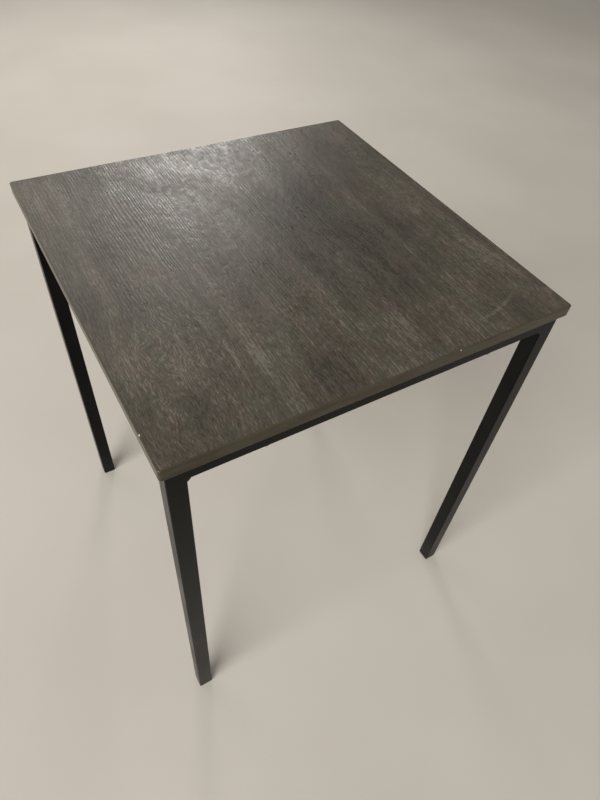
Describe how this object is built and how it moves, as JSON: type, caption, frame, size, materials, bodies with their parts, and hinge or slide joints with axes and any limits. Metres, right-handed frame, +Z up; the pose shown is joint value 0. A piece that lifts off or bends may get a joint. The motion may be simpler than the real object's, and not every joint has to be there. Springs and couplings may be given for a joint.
{
  "type": "bistro table",
  "caption": "Square bistro table: a dark wood-look laminated top with edge bands, screwed down on a welded frame of black steel tube with four straight legs.",
  "frame": {"origin": "on the floor, under the middle of the table", "axes": "+Z up, +Y from the front edge to the back edge and along the wood grain, +X to the right seen from the front"},
  "size_m": [0.6, 0.6, 0.75],
  "materials": {
    "wood_decor": "satin laminate with a dark grey-brown wood grain",
    "chipboard": "raw pressed wood chips",
    "backing_sheet": "plain matt brown laminate",
    "edge_band": "satin dark brown plastic with printed grain",
    "powder_coat": "semi-matt black powder coat",
    "black_screw": "black zinc",
    "foot_plastic": "matt black moulded plastic"
  },
  "bodies": {
    "root": {"top_laminate": "wood_decor", "panel_core": "chipboard", "underside_laminate": "backing_sheet", "edge_band_front": "edge_band", "edge_band_right": "edge_band", "edge_band_back": "edge_band", "edge_band_left": "edge_band", "rail_front": "powder_coat", "rail_right": "powder_coat", "rail_back": "powder_coat", "rail_left": "powder_coat", "weld_front_left": "powder_coat", "weld_front_right": "powder_coat", "weld_right_front": "powder_coat", "weld_right_back": "powder_coat", "weld_back_right": "powder_coat", "weld_back_left": "powder_coat", "weld_left_back": "powder_coat", "weld_left_front": "powder_coat", "screw_front_left": "black_screw", "screw_front_right": "black_screw", "screw_right_front": "black_screw", "screw_right_back": "black_screw", "screw_back_right": "black_screw", "screw_back_left": "black_screw", "screw_left_back": "black_screw", "screw_left_front": "black_screw", "leg_front_left": "powder_coat", "leg_front_right": "powder_coat", "leg_back_left": "powder_coat", "leg_back_right": "powder_coat", "foot_plug_front_left": "foot_plastic", "foot_plug_front_right": "foot_plastic", "foot_plug_back_left": "foot_plastic", "foot_plug_back_right": "foot_plastic"}
  },
  "joints": []
}
